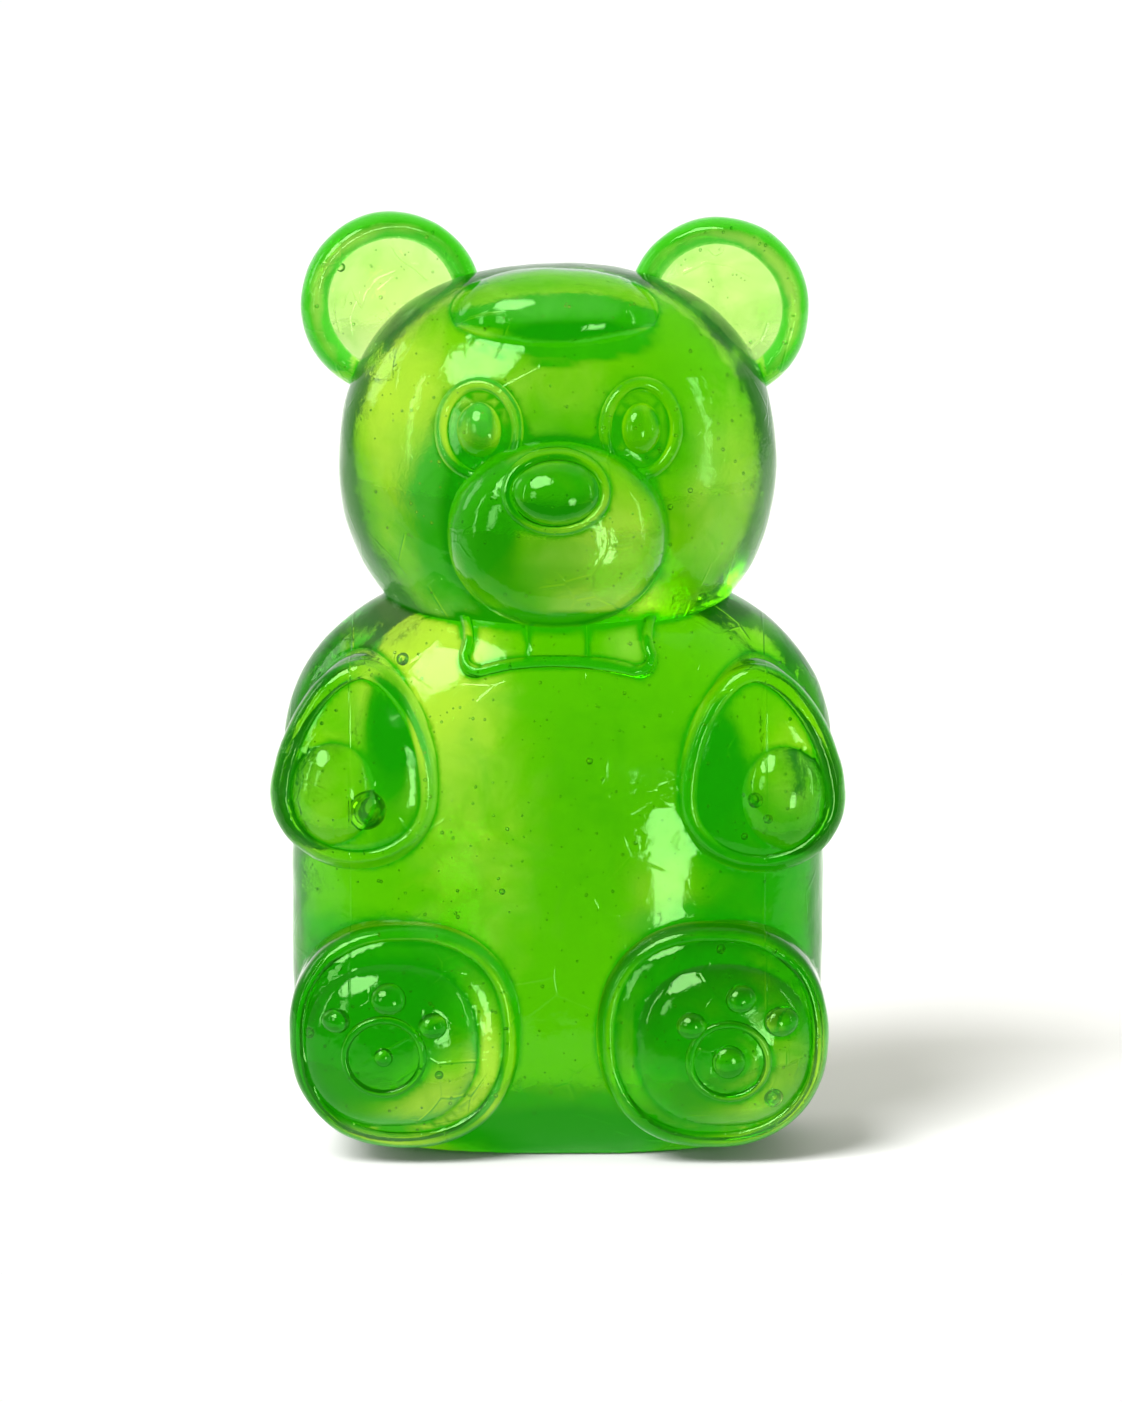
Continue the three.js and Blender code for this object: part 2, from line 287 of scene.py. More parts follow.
# %% [markdown]
# ## Ears
# An ear is a round rim, deeper than it is wide, with a thin lens of a leaf across it. A cord round a
# circle gives the rim, and a flat ball, with points all over its face, gives the leaf.

# %% A thin thread along an open path
def thread(path, thick):
    """A round thread led through the points of a path, as a closed mesh."""
    line = bpy.data.curves.new("thread", "CURVE")
    line.dimensions = "3D"
    line.bevel_depth = thick
    line.bevel_resolution = 1
    line.use_fill_caps = True
    spline = line.splines.new("POLY")
    spline.points.add(len(path) - 1)
    for point, place in zip(spline.points, path):
        point.co = (*place, 1)
    made = bpy.data.objects.new("thread", line)
    bpy.context.collection.objects.link(made)
    pick_only(made)
    bpy.ops.object.convert(target="MESH")
    bpy.ops.object.mode_set(mode="EDIT")
    bpy.ops.mesh.select_all(action="SELECT")
    bpy.ops.mesh.remove_doubles(threshold=0.001)
    bpy.ops.mesh.normals_make_consistent(inside=False)
    bpy.ops.object.mode_set(mode="OBJECT")
    return bpy.context.object


# %% Ears, with the creases the mould left on their leaves
EARS = [
    dict(centre=(-42.7, 6, 215.4), turn=0.16, creases=[
        [(-0.4, 16.4), (-0.1, 15), (1.2, 12.4), (2.3, 11.2), (5.7, 9.1), (9.1, 6)],
        [(-13, -1), (-12.4, 2), (-10.8, 4.8), (-9.4, 1.6), (-8.1, -0.9), (-7.4, 2.6), (-4.2, 6.6),
         (0.6, 8.4)],
        [(-14.6, 3), (-14.9, -2), (-13.4, -7.4)]]),
    dict(centre=(41.4, 6, 214), turn=-0.16, creases=[
        [(-2.4, 15.4), (-0.6, 13.8), (1, 14.6), (1.2, 16)],
        [(-9, 9), (-3, 12), (3, 11.4), (8.4, 8.6)], [(12.6, -3), (10.8, -8), (7, -11.6)]]),
]
CREASE_THICK = 0.42
EAR_RADIUS, EAR_RIM, RIM_DEPTH, LEAF_THICK, LEAF_BACK = 23.6, 3.5, 1.75, 3.4, 1.6
LEAF_RADIUS = EAR_RADIUS - EAR_RIM


def on_leaf(x, y):
    """A place on the front of the leaf."""
    return x, y, LEAF_THICK * (1 - (x * x + y * y) / LEAF_RADIUS**2) ** 0.5 - LEAF_BACK


for ear in EARS:
    rim = cord(oval(LEAF_RADIUS, LEAF_RADIUS, 120), EAR_RIM, 28)
    leaf = button(LEAF_RADIUS, LEAF_RADIUS, LEAF_THICK)
    rim.scale.z = RIM_DEPTH
    leaf.location.z = -LEAF_BACK
    marks = [thread([on_leaf(x, y) for x, y in path], CREASE_THICK) for path in ear["creases"]]
    for piece in (rim, leaf, *marks):
        pick_only(piece)
        bpy.ops.object.transform_apply()
        piece.rotation_euler = (math.pi / 2, 0, ear["turn"])
        piece.location = Vector(ear["centre"]) * MM
        piece.scale = (MM, MM, MM)
        bpy.ops.object.transform_apply()
        lumps.append(piece)

# %% [markdown]
# ## Face and bow tie
# Each eye is a ring round a button, and the nose is a wider pair high on the muzzle. The bow is a plate
# with a rounded rim and a square strap over its waist.

# %% Eyes and nose
EYES = [
    dict(place=(-19.6, 186), rim=(9.6, 11.4), pupil=(5.6, 6.9)),
    dict(place=(20.8, 186.3), rim=(8.9, 11.2), pupil=(4.8, 6.4)),
]
EYE_CORD, PUPIL_BULGE = 1.6, 3.6
for eye in EYES:
    lumps.append(wrap(cord(oval(*eye["rim"]), EYE_CORD), HEAD, *eye["place"], lift=0.5))
    lumps.append(wrap(button(*eye["pupil"], PUPIL_BULGE), HEAD, *eye["place"], lift=0.6))

NOSE_AT, NOSE_RING, NOSE_CORD, NOSE_TIP = (-0.4, 171.3), (12.4, 9.3), 1.4, (11, 7.8, 4.8)
lumps.append(wrap(cord(oval(*NOSE_RING), NOSE_CORD), MUZZLE, *NOSE_AT))
lumps.append(wrap(button(*NOSE_TIP), MUZZLE, *NOSE_AT))
print("lumps with the face:", len(lumps))

# %% The outline of the bow tie
BOW_AT, WING, TALL, WAIST, CORNER, KNOT = (0, 132.4), 25, 9.6, 6.8, 4.5, 7.5
PLATE, UNDER = 1.4, 6
BOW_RIM_AT, BOW_CORD = (0.94, 0.84), 1.5


def curved(start, pull, end, steps=12):
    """Points along a curve from start towards end, bent towards the point between them."""
    t = np.linspace(0, 1, steps, endpoint=False)[:, None]
    a, b, c = map(np.array, (start, pull, end))
    return (1 - t) ** 2 * a + 2 * t * (1 - t) * b + t**2 * c


right_half = np.vstack([
    curved((0, -WAIST), (KNOT + 5, -WAIST), (WING - CORNER, -TALL)),
    curved((WING - CORNER, -TALL), (WING, -TALL), (WING, -TALL + CORNER)),
    curved((WING, -TALL + CORNER), (WING - CORNER / 2, 0), (WING, TALL - CORNER)),
    curved((WING, TALL - CORNER), (WING, TALL), (WING - CORNER, TALL)),
    curved((WING - CORNER, TALL), (KNOT + 5, TALL - 1), (0, TALL - 1)),
    [[0, TALL - 1]],
])
bow_outline = np.vstack([right_half, right_half[-2:0:-1] * (-1, 1)])
bow_rim = bow_outline * BOW_RIM_AT
print("points round the bow:", len(bow_outline))

# %% The plate, the knot and the rim of the bow tie
plate_mesh = bpy.data.meshes.new("bow")
plate_mesh.from_pydata([(x, y, -UNDER) for x, y in bow_outline], [], [range(len(bow_outline))])
bow = bpy.data.objects.new("bow", plate_mesh)
bpy.context.collection.objects.link(bow)
pick_only(bow)
bpy.ops.object.mode_set(mode="EDIT")
bpy.ops.mesh.select_all(action="SELECT")
bpy.ops.mesh.extrude_region_move(TRANSFORM_OT_translate={"value": (0, 0, UNDER + PLATE)})
bpy.ops.mesh.select_all(action="SELECT")
bpy.ops.mesh.normals_make_consistent(inside=False)
bpy.ops.object.mode_set(mode="OBJECT")

bpy.ops.object.select_all(action="DESELECT")
KNOT_TALL, KNOT_DEEP = 12.4, 8
bpy.ops.mesh.primitive_cube_add(size=1, scale=(2 * KNOT, KNOT_TALL, KNOT_DEEP), location=(0, 1.2, -0.6))
knot = bpy.context.object
bpy.ops.object.transform_apply()
for piece in (bow, knot):
    apply_modifier(piece, "REMESH", mode="VOXEL", voxel_size=0.6, use_smooth_shade=True)
    apply_modifier(piece, "SMOOTH", factor=0.5, iterations=4)
    lumps.append(wrap(piece, BELLY, *BOW_AT))
lumps.append(wrap(cord(bow_rim, BOW_CORD, 12), BELLY, *BOW_AT, lift=PLATE - 0.2))
print("lumps:", len(lumps))

# %% [markdown]
# ## One skin over all of them
# Jelly has no walls inside it: light would show each one. The torso is remeshed, which melts its two
# lumps together, and every other lump is joined with a Boolean union, which keeps the crisp line where
# they meet.

# %% Joining
TORSO_VOXEL, TORSO_SMOOTHING = 1.5 * MM, 6
pick_only(*torso)
bpy.ops.object.join()
bear = bpy.context.object
bear.name = "jelly_bear"
bear.data.name = "jelly_bear"
apply_modifier(bear, "REMESH", mode="VOXEL", voxel_size=TORSO_VOXEL, use_smooth_shade=True)
apply_modifier(bear, "SMOOTH", factor=0.5, iterations=TORSO_SMOOTHING)
for lump in lumps:
    apply_modifier(bear, "BOOLEAN", operation="UNION", solver="MANIFOLD", object=lump)
    bpy.data.objects.remove(lump)
print("joined pieces are one mesh of", len(bear.data.vertices), "points")

# %% Crumbs
# A union can leave a crumb behind: all that isn't linked to the highest point goes.
pick_only(bear)
bpy.ops.object.mode_set(mode="EDIT")
bpy.ops.mesh.select_all(action="DESELECT")
bpy.ops.object.mode_set(mode="OBJECT")
max(bear.data.vertices, key=lambda point: point.co.z).select = True
bpy.ops.object.mode_set(mode="EDIT")
bpy.ops.mesh.select_linked()
bpy.ops.mesh.select_all(action="INVERT")
bpy.ops.mesh.delete(type="VERT")
bpy.ops.object.mode_set(mode="OBJECT")
print("triangles", sum(len(face.vertices) - 2 for face in bear.data.polygons))

# %% [markdown]
# ## Rounding the folds
# Liquid jelly can't fill a knife-sharp corner of the mould, so each fold has a small round in it, and
# that round is what draws the thin bright and dark lines of a clear sweet. The folds are found as edges
# that bend inwards. A vertex group around them steers a Smooth modifier.

# %% Finding and rounding the folds
FOLD_ANGLE = math.radians(-16)
FOLD_ROUND = 1.0 * MM
CRISP_ANGLE = math.radians(36)


def distance_to_folds(obj):
    """How far each point is from the nearest edge that bends inwards."""
    work = bmesh.new()
    work.from_mesh(obj.data)
    inward = [e for e in work.edges if len(e.link_faces) == 2 and e.calc_face_angle_signed() < FOLD_ANGLE]
    ends = [point.co for edge in inward for point in edge.verts]
    tree = kdtree.KDTree(len(ends))
    for index, place in enumerate(ends):
        tree.insert(place, index)
    tree.balance()
    found = np.array([tree.find(point.co)[2] for point in work.verts])
    work.free()
    return found


fold = np.exp(-((distance_to_folds(bear) / FOLD_ROUND) ** 2))
group = bear.vertex_groups.new(name="folds")
for index in np.nonzero(fold > 0.05)[0]:
    group.add([int(index)], float(fold[index]), "REPLACE")
apply_modifier(bear, "SMOOTH", factor=0.4, iterations=1, vertex_group="folds")
pick_only(bear)
bpy.ops.object.shade_smooth_by_angle(angle=CRISP_ANGLE)
print("points near a fold:", int((fold > 0.3).sum()), "of", len(fold))

# %% [markdown]
# ## The base, the fit and the wavy skin
# The base is pressed flat by the table. The skin of turned-out jelly is never quite even, and these
# waves, under half a millimetre high, are what breaks the light inside into patches.

# %% Waves
WAVE_HEIGHT, WAVE_LENGTH = 0.34 * MM, 17 * MM
RIPPLE_HEIGHT, RIPPLE_FINER = 0.4, 2.7


def wave(place):
    """A long wave with a lower and finer ripple on it, from about -1 to 1."""
    place = Vector(place) / WAVE_LENGTH
    return noise.noise(place) + RIPPLE_HEIGHT * noise.noise(place * RIPPLE_FINER)


normals = np.empty(len(bear.data.vertices) * 3)
bear.data.vertices.foreach_get("normal", normals)
points = points_of(bear)
waves = np.array([wave(point) for point in points])
points += normals.reshape(-1, 3) * (waves * WAVE_HEIGHT)[:, None]
print("waves, mm:", np.round([waves.min() * WAVE_HEIGHT / MM, waves.max() * WAVE_HEIGHT / MM], 2))

# %% Fit
# The skin stays a hair inside the solid's box on every side.
INSIDE = 0.999
low, high = points.min(0), points.max(0)
points[:, 2] = np.maximum(points[:, 2], 0)
points[:, :2] -= (low[:2] + high[:2]) / 2
points[:, :2] *= (CAD_HIGH - CAD_LOW)[:2] / (high - low)[:2]
points[:, 2] *= CAD_HIGH[2] / high[2]
move_points(bear, points * INSIDE)
print("bear, mm:", np.round(np.ptp(points_of(bear), axis=0) / MM, 1))
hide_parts("gummy_bear")
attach(bear, "root")

# %% [markdown]
# ## Painted shade and painted light
# Colour in clear jelly is a matter of depth, and the material below tints by depth already. Where a fold
# or a hollow in the mould gathers light from a dark side it looks darker still, and where it gathers the
# light of the wall behind it looks pale. Two masks on the points paint that in: painted shade in folds,
# rims and dark patches, and painted light in pale patches.

# %% Painting patches on the points
def patch(x, z, centre, radii, soft):
    """1 inside an oval and 0 outside it, with a soft edge."""
    away = np.hypot((x - centre[0]) / radii[0], (z - centre[1]) / radii[1])
    share = np.clip((1 + soft - away) / (2 * soft), 0, 1)
    return share * share * (3 - 2 * share)


# The places of all points, in millimetres.
x, y, z = (points / MM).T


def painted(start, patches, soft):
    """Lays patches over a mask, on the front and on the back, as light goes through both."""
    mask = start
    for centre, radii, strength in patches:
        mask = 1 - (1 - mask) * (1 - strength * patch(x, z, centre, radii, soft))
    return mask


def keep_mask(name, mask):
    """Stores a mask on the points of the bear, where the material can read it."""
    made = bear.data.attributes.new(name, "FLOAT", "POINT")
    made.data.foreach_set("value", mask.astype(np.float32))
    print("mean of", name, round(float(mask.mean()), 3))


# %% Painted shade lines along outlines and on the bow tie
FRONT_HALF = y < -20


def shade_inside_outline(lump, from_side, strength, width=0.045):
    """A line of painted shade just inside the outline of a lump, on the side of it that `from_side` points
    to.
    """
    across, rise = lump.upright(x, z)
    reach, side = lump.halves(rise)
    size = ((abs(across) / lump.radii[0]) ** side + (abs(rise) / reach) ** side) ** (1 / side)
    facing = np.clip(0.35 + (across * from_side[0] + rise * from_side[1]) / reach, 0, 1)
    return strength * facing * np.exp(-(((size - 0.97) / width) ** 2)) * FRONT_HALF


# Painted shade along the rim of the bow tie and at the pleats beside its knot.
from_rim = np.array([np.hypot(*(bow_rim + BOW_AT - place).T).min() for place in points[:, ::2] / MM])
bow_rim_shade = 0.95 * np.exp(-((from_rim / BOW_CORD) ** 2)) * FRONT_HALF
PLEAT_WIDTH = 1.1
in_bow = (abs(z - BOW_AT[1]) < WAIST) * FRONT_HALF
pleat_shade = 0.9 * np.exp(-(((abs(x) - KNOT) / PLEAT_WIDTH) ** 2)) * in_bow
# Painted shade along the top of the muzzle and under the fringe.
outline_shade = np.maximum(shade_inside_outline(MUZZLE, (0, 1), 1, 0.07), shade_inside_outline(FRINGE, (0, -1), 0.8))
bow_shade_lines = np.maximum(bow_rim_shade, pleat_shade)
print("points on a line:", int((np.maximum(outline_shade, bow_shade_lines) > 0.5).sum()))

# %% Painted shade on the rims and painted light on the leaves of the ears
ear_rim_shade, ear_dish_light = np.zeros(len(points)), np.zeros(len(points))
for ear in EARS:
    away = np.hypot(x - ear["centre"][0], z - ear["centre"][2]) / EAR_RADIUS
    on_ear = (away < 1.1) * (z > 198) * (np.hypot(x, z - HEAD.centre[2]) > 50)
    ear_rim_shade = np.maximum(ear_rim_shade, 0.95 * np.clip((away - 0.72) / 0.2, 0, 1) * on_ear)
    ear_dish_light = np.maximum(ear_dish_light, 0.5 * on_ear)
print("points on the ears:", int((ear_dish_light > 0).sum()))

# %% Places of painted shade, where the jelly is painted darker
# Each patch is a centre x, z in millimetres, its two radii, and how strong it is.
PAINTED_SHADE_PATCHES = [
    # fringe and ears
    ((-42.7, 215), (18, 18), 0.15), ((4, 208), (20, 5), 1.0),
    # face and chin
    ((50, 186), (6, 24), 0.25), ((22, 176), (5, 8), 0.4), ((-0.4, 172), (11, 8), 0.75),
    ((-19, 166), (10, 18), 0.95), ((-52, 160), (8, 24), 0.4), ((20, 150), (60, 4), 0.3),
    ((-14, 143), (10, 5), 0.5),
    # shoulders and bow tie
    ((0, 137), (26, 4), 0.7), ((62, 133), (5, 11), 0.85), ((-60, 128), (5, 8), 0.95),
    # arms, belly and flanks
    ((-43, 109), (6, 16), 0.95), ((41, 98), (6, 17), 0.9), ((-44, 92), (9, 16), 0.4),
    ((22, 86), (30, 36), 0.25), ((46, 78), (12, 22), 0.6), ((-66, 62), (4, 30), 0.2),
    # legs and base
    ((62, 60), (9, 30), 0.75), ((30, 52), (14, 6), 0.4), ((-28, 50), (14, 6), 0.4),
    ((-48, 36), (22, 20), 0.92), ((36, 36), (19, 24), 0.7), ((-60, 30), (7, 20), 0.6),
    ((60, 30), (6, 18), 0.35), ((-44, 29), (10, 9), 0.15), ((0, 5), (32, 9), 0.95),
]
print("deep patches:", len(PAINTED_SHADE_PATCHES))

# %% Places of painted light: paler patches that stand in for soft reflections and light from the wall
PAINTED_LIGHT_PATCHES = [
    # fringe and ears
    ((-2, 217), (22, 4), 0.6),
    # face and chin
    ((-2, 195), (18, 12), 0.35), ((-38, 190), (11, 20), 0.8), ((-19.6, 186), (9, 11), 0.4),
    ((42, 168), (10, 24), 0.6), ((-38, 160), (8, 16), 0.35), ((16, 157), (9, 15), 0.6),
    ((2, 156), (12, 12), 0.4), ((12, 142), (12, 5), 0.9),
    # shoulders and bow tie
    ((-51, 137), (9, 8), 0.5), ((52, 137), (9, 8), 0.5), ((-24, 133), (5, 4), 0.6),
    ((18, 131), (5, 5), 0.6), ((-34, 120), (15, 22), 0.9),
    # arms, belly and flanks
    ((60, 94), (9, 18), 0.4), ((-62, 92), (9, 20), 0.3), ((-20, 84), (16, 44), 0.36),
    ((26, 62), (10, 16), 0.4),
    # legs and base
    ((52, 30), (11, 11), 0.8), ((20, 30), (6, 12), 0.3), ((64, 26), (3, 14), 0.6),
    ((-19, 24), (4, 12), 0.9), ((63, 20), (6, 12), 0.8), ((-31, 15), (11, 9), 0.9),
    ((50, 12), (14, 4), 0.8), ((-42, 9), (14, 4), 0.8),
]

# %% Keeping the masks of painted shade and painted light
# The painted shade in the folds under the chin and over the muzzle is drawn wider than in other folds.
CHIN_LINE, CHIN_REACH, BROW_LINE, BROW_REACH, BROW_WIDE = 141, 9, 186, 4.5, 16
PATCH_SOFT, GLOW_SOFT = 0.42, 0.85
wide_fold_shade = 0.9 * fold**0.4
chin_shade = wide_fold_shade * (abs(z - CHIN_LINE) < CHIN_REACH) * (y < -8)
brow_shade = wide_fold_shade * (abs(z - BROW_LINE) < BROW_REACH) * (abs(x) < BROW_WIDE) * FRONT_HALF
# Painted shade in every fold, taken off the ear leaves but kept on their rims.
folds = 0.75 * fold * (1 - np.clip(ear_dish_light * 2, 0, 1) * (ear_rim_shade == 0))
painted_shade_lines = np.maximum.reduce([folds, ear_rim_shade, outline_shade, bow_shade_lines, chin_shade, brow_shade])
keep_mask("painted_shade", painted(painted_shade_lines, PAINTED_SHADE_PATCHES, PATCH_SOFT))
keep_mask("painted_light", painted(ear_dish_light, PAINTED_LIGHT_PATCHES, GLOW_SOFT))

# %% [markdown]
# ## Bubbles and specks of air
# Stirring leaves air in the jelly: a few round bubbles and hundreds of specks just under the skin. They
# could be drawn on as dots, but a real ball of air bends light the wrong way round, bright in the middle
# and dark at its edge, and only a mesh does that. Each ball is put in at its size, and the balls of one
# kind are joined.

# %% Placing balls under the skin
skin_tree = bvhtree.BVHTree.FromObject(bear, bpy.context.evaluated_depsgraph_get())
BEFORE_BEAR, BACKWARD = -0.1, Vector((0, 1, 0))


def under_skin(x, z, depth):
    """The place at a depth behind the front skin, over x, z in millimetres."""
    hit = skin_tree.ray_cast(Vector((x * MM, BEFORE_BEAR, z * MM)), BACKWARD)[0]
    return hit + Vector((0, depth * MM, 0))


def balls(name, places, sides, rings):
    """Puts in one ball for each place and radius, and joins them into one piece."""
    made = []
    for place, radius in places:
        bpy.ops.object.select_all(action="DESELECT")
        bpy.ops.mesh.primitive_uv_sphere_add(segments=sides, ring_count=rings, radius=radius,
                                             location=place)
        made.append(bpy.context.object)
    pick_only(*made)
    bpy.ops.object.join()
    joined = bpy.context.object
    bpy.ops.object.transform_apply()
    bpy.ops.object.shade_smooth()
    joined.name = name
    joined.data.name = name
    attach(joined, "root")
    print(name, len(made), "balls")
    return joined


# %% The bubbles
BUBBLES = [(-48.3, 89.5, 5.1), (50, 92.5, 1.9), (54, 18, 2.4), (-39, 126, 1.7), (-62, 34, 1.4),
           (36, 142, 1.5), (-55.5, 224, 1.2), (28, 166, 0.8), (33, 170, 0.7), (41, 55, 1.2),
           (-30, 24, 1.1), (8, 102, 0.9), (-14, 69, 0.8), (53, 88, 1.2), (47, 83, 0.9)]
BUBBLE_SIDES, BUBBLE_RINGS, SKIN_OVER = 32, 20, 1.4
bubbles = balls("air_bubbles", [(under_skin(x, z, size + SKIN_OVER), size * MM) for x, z, size in BUBBLES],
                BUBBLE_SIDES, BUBBLE_RINGS)

# %% The specks
SPECKS, SMALLEST, LARGEST, SHALLOWEST, DEEPEST = 900, 0.2, 0.55, 0.6, 3.5
SPECK_SIDES, SPECK_RINGS, SPECK_GAP = 8, 5, 0.25
speck_places = []
while len(speck_places) < SPECKS:
    x, z = chance.uniform(-70, 70), chance.uniform(4, 236)
    hit, normal, _, _ = skin_tree.ray_cast(Vector((x * MM, BEFORE_BEAR, z * MM)), BACKWARD)
    if hit is None:
        continue
    radius = SMALLEST + (LARGEST - SMALLEST) * chance.random() ** 3
    place = hit - normal * chance.uniform(SHALLOWEST, DEEPEST) * MM
    nearest, facing, _, gap = skin_tree.find_nearest(place)
    if gap > (radius + SPECK_GAP) * MM and (place - nearest).dot(facing) < 0:
        speck_places.append((place, radius * MM))
print("places for specks:", len(speck_places))


# %% One mesh for all specks
def speck_cloud(name, places):
    """One small ball is modelled and its points are repeated at every place."""
    bpy.ops.object.select_all(action="DESELECT")
    bpy.ops.mesh.primitive_uv_sphere_add(segments=SPECK_SIDES, ring_count=SPECK_RINGS, radius=1)
    ball = bpy.context.object
    pattern = points_of(ball)
    faces = [list(face.vertices) for face in ball.data.polygons]
    cloud = np.vstack([pattern * radius + np.array(place) for place, radius in places])
    repeated = [[corner + step * len(pattern) for corner in face] for step in range(len(places))
                for face in faces]
    mesh = bpy.data.meshes.new(name)
    mesh.from_pydata(cloud, [], repeated)
    mesh.update()
    bpy.data.objects.remove(ball)
    made = bpy.data.objects.new(name, mesh)
    bpy.context.collection.objects.link(made)
    pick_only(made)
    bpy.ops.object.shade_smooth()
    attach(made, "root")
    print(name, len(places), "specks")
    return made


specks = speck_cloud("air_specks", speck_places)

# %% [markdown]
# ## Shader maths written as sums
# A node tree is hard to read as a list of links. The small class below wraps a socket, so that
# `1 - folds * 0.5` makes the Math nodes it stands for.

# %% A socket that can be added and multiplied
class Wire:
    def __init__(self, tree, socket=None):
        self.tree, self.socket = tree, socket

    def node(self, kind, settings=None, inputs=None, output=0):
        """Adds one node, with its settings first and then its values or links."""
        made = self.tree.nodes.new(kind)
        for key, value in (settings or {}).items():
            setattr(made, key, value)
        for key, value in (inputs or {}).items():
            if isinstance(value, Wire):
                self.tree.links.new(value.socket, made.inputs[key])
            else:
                made.inputs[key].default_value = value
        return Wire(self.tree, made.outputs[output])

    def maths(self, operation, first, second=0.0):
        return self.node("ShaderNodeMath", {"operation": operation}, {0: first, 1: second})

    def __add__(self, other):
        return self.maths("ADD", self, other)

    def __sub__(self, other):
        return self.maths("SUBTRACT", self, other)

    def __rsub__(self, other):
        return self.maths("SUBTRACT", other, self)

    def __mul__(self, other):
        return self.maths("MULTIPLY", self, other)

    __radd__, __rmul__ = __add__, __mul__

    def ramp(self, low, high, to_low=0.0, to_high=1.0):
        """A soft step from one value to another as this one goes from low to high."""
        return self.node("ShaderNodeMapRange", {"interpolation_type": "SMOOTHSTEP"}, {
            "Value": self, "From Min": low, "From Max": high, "To Min": to_low, "To Max": to_high})

    def blend(self, first, second):
        """A colour between two, led by this value."""
        return self.node("ShaderNodeMix", {"data_type": "RGBA"}, {0: self, 6: first, 7: second}, output=2)

    def into(self, node, socket):
        self.tree.links.new(self.socket, node.inputs[socket])


def new_material(name):
    material = bpy.data.materials.new(name)
    material.use_nodes = True
    return material, material.node_tree.nodes["Principled BSDF"], Wire(material.node_tree)


# %% [markdown]
# ## The jelly
# Three things make the look. The body lets all light in and bends it like water with sugar in it. The
# inside takes away red and blue with every millimetre, so thin ears stay pale and the belly is rich.
# The skin has a tint of its own, with painted shade darker in the folds and painted light in pale
# patches, and fine wrinkles and dull patches on its gloss. Real jelly also scatters a little light. A true
# scattering volume would be slow and grainy, so a weak painted glow stands for it, pure green in most
# places, and where the painted light mask is, a milky glow stands for soft painted reflections.

# %% Tint, painted shade, painted light and a painted glow
# The rich green is the jelly's own tint. The pale green is painted light, the deep green painted shade, and
# both glows are painted light.
PAINTED_LIGHT_GREEN, RICH_GREEN, PAINTED_SHADE_GREEN = (0.74, 0.93, 0.5, 1), (0.165, 0.59, 0.03, 1), (0.006, 0.33, 0.002, 1)
PAINTED_GREEN_GLOW, PAINTED_MILKY_GLOW = (0.03, 0.6, 0, 1), (0.42, 0.75, 0.38, 1)
jelly, skin, draw = new_material("green_jelly")
place = draw.node("ShaderNodeTexCoord", output="Object")


def cloud(scale, detail=2.0, rough=0.5, bend=0.0):
    """Soft noise over the object, with so many waves to the metre."""
    return draw.node("ShaderNodeTexNoise", {}, {
        "Vector": place, "Scale": scale, "Detail": detail, "Roughness": rough, "Distortion": bend})


def painted_mask(name):
    """A mask from the points, its edge broken up by a cloud."""
    plain = draw.node("ShaderNodeAttribute", {"attribute_name": name}, output="Fac")
    return (plain + (cloud(70, 3, bend=1.4) - 0.5) * 0.6).ramp(0.08, 0.8)


painted_light_share, painted_shade_share = painted_mask("painted_light"), painted_mask("painted_shade")
# Base Color: the jelly's own rich green, painted paler where the painted light mask is and darker where the
# painted shade mask is.
painted_shade_share.blend(painted_light_share.blend(RICH_GREEN, PAINTED_LIGHT_GREEN), PAINTED_SHADE_GREEN).into(skin, "Base Color")
# The emission is a painted glow: green over most of the jelly, and a milky painted reflection where the
# painted light mask is.
painted_shade_share.blend(painted_light_share.blend(PAINTED_GREEN_GLOW, PAINTED_MILKY_GLOW), PAINTED_GREEN_GLOW).into(skin, "Emission Color")
skin.inputs["Emission Strength"].default_value = 0.1
print("tint nodes:", len(draw.tree.nodes))

# %% Gloss
CLEAR_ROUGHNESS, HAZY_ROUGHNESS = 0.035, 0.14
haze = cloud(34, 4, 0.6, bend=0.6).ramp(0.5, 0.72, CLEAR_ROUGHNESS, HAZY_ROUGHNESS)
haze.into(skin, "Roughness")
skin.inputs["IOR"].default_value = 1.39
skin.inputs["Transmission Weight"].default_value = 1
skin.inputs["Specular Tint"].default_value = (0.5, 1, 0.35, 1)
print("roughness from", CLEAR_ROUGHNESS, "to", HAZY_ROUGHNESS)

# %% The seam of the mould
SEAM_AT, SEAM_WIDE, SEAM_LOW, SEAM_HIGH = 52.3 * MM, 0.4 * MM, 34 * MM, 144 * MM
SEAM_FADE_LOW, SEAM_FADE_HIGH = 6 * MM, 8 * MM
across = draw.node("ShaderNodeSeparateXYZ", inputs={0: place}, output="X")
height = draw.node("ShaderNodeSeparateXYZ", inputs={0: place}, output="Z")
from_seam = draw.maths("ABSOLUTE", draw.maths("ABSOLUTE", across) - SEAM_AT)
from_below = height.ramp(SEAM_LOW, SEAM_LOW + SEAM_FADE_LOW)
to_above = height.ramp(SEAM_HIGH - SEAM_FADE_HIGH, SEAM_HIGH, 1, 0)
seam = from_seam.ramp(0, SEAM_WIDE, 1, 0) * (from_below * to_above)
print("seam at x, mm:", round(SEAM_AT / MM, 1))

# %% Wrinkles and cracks
wrinkles = cloud(420, 3, 0.55, bend=0.7) * 0.35 + cloud(120, 2, bend=0.4)
cracks = draw.node("ShaderNodeTexVoronoi", {"feature": "DISTANCE_TO_EDGE"}, {
    "Vector": place, "Scale": 75, "Randomness": 1.0})
lines = cracks.ramp(0.0, 0.035, 1, 0) * cloud(45).ramp(0.52, 0.6)
bump = draw.node("ShaderNodeBump", {}, {
    "Height": wrinkles + lines * 0.35 + seam * 0.4, "Distance": 0.35 * MM, "Strength": 0.5})
bump.into(skin, "Normal")
print("jelly nodes:", len(draw.tree.nodes))

